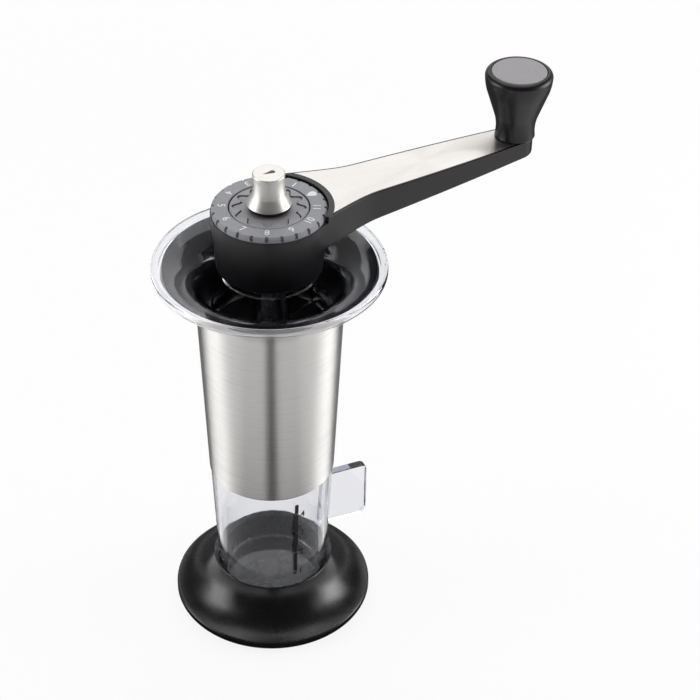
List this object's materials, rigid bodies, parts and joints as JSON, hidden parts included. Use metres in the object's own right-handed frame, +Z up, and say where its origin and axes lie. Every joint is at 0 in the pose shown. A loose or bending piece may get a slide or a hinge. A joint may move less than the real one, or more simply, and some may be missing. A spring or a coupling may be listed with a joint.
{
  "type": "hand crank coffee grinder",
  "caption": "Standing coffee grinder with a clear hopper rim, a tapered steel body, a clear grounds cup with a grip tab, a flared foot, and a crank with a grind dial.",
  "frame": {"origin": "centre of the foot's underside, on the turning axis", "axes": "+Z up along the turning axis, +X along the crank arm at rest"},
  "size_m": [0.1953, 0.1052, 0.2598],
  "materials": {
    "rubber": "soft matte",
    "foot_black": "satin",
    "clear_plastic": "clear, glossy",
    "housing_steel": "brushed round the axis",
    "inner_black": "glossy",
    "crank_black": "satin",
    "plate_steel": "brushed along its length",
    "dial_grey": "fine texture",
    "socket_grey": "fine texture",
    "cap_grey": "fine texture",
    "pointer_dark": "matte",
    "knob_nickel": "satin",
    "brass": "turned",
    "bush_plastic": "natural",
    "ceramic": "matte",
    "steel": "turned",
    "print_white": "printed ink",
    "print_black": "printed ink"
  },
  "bodies": {
    "stand": {"base_pad": "rubber", "base_shell": "foot_black", "grounds_container": "clear_plastic"},
    "housing": {"housing_shell": "housing_steel", "hopper_bowl": "clear_plastic", "inner_funnel": "inner_black", "bearing_spider": "clear_plastic", "upper_bush": "inner_black", "lower_bush": "inner_black", "thrust_washer": "steel", "spring_washer": "steel", "burr_housing": "inner_black", "outer_burr": "ceramic", "burr_retainer": "steel", "retainer_screws": "steel"},
    "crank": {"crank_body": "crank_black", "crank_plate": "plate_steel", "dial_ring": "dial_grey", "dial_center": "dial_grey", "drive_socket": "socket_grey", "hub_screws": "steel", "knob_axle": "steel", "axle_washer": "steel", "axle_clip": "steel"},
    "handle": {"handle_knob": "crank_black", "knob_bush": "bush_plastic", "knob_cap": "cap_grey"},
    "adjuster": {"adjuster_knob": "knob_nickel", "adjuster_nut": "brass", "adjuster_washer": "crank_black", "adjuster_pointer": "pointer_dark"},
    "shaft": {"drive_shaft": "steel", "drive_pin": "steel", "burr_driver": "steel", "inner_burr": "ceramic", "burr_washer": "steel", "burr_nut": "steel", "shaft_spring": "steel"}
  },
  "joints": [
    {"name": "container_twist", "type": "hinge", "parent": "stand", "child": "housing", "pos_m": [0, 0, 0.0822], "axis": [0, 0, 1], "range_deg": [0, 30]},
    {"name": "crank_turn", "type": "hinge", "parent": "housing", "child": "crank", "pos_m": [0, 0, 0.1998], "axis": [0, 0, 1], "continuous": true},
    {"name": "handle_spin", "type": "hinge", "parent": "crank", "child": "handle", "pos_m": [0.1273, 0, 0.2268], "axis": [0, 0, 1], "continuous": true},
    {"name": "adjuster_turn", "type": "hinge", "parent": "crank", "child": "adjuster", "pos_m": [0, 0, 0.226], "axis": [0, 0, 1], "range_deg": [0, 330]},
    {"name": "shaft_lift", "type": "slide", "parent": "crank", "child": "shaft", "axis": [0, 0, 1], "range_m": [-0.0008, 0], "deforming": ["shaft_spring"]}
  ],
  "couplings": [
    {"joint": "shaft_lift", "follows": "adjuster_turn", "m_per_rad": -0.00012732}
  ]
}
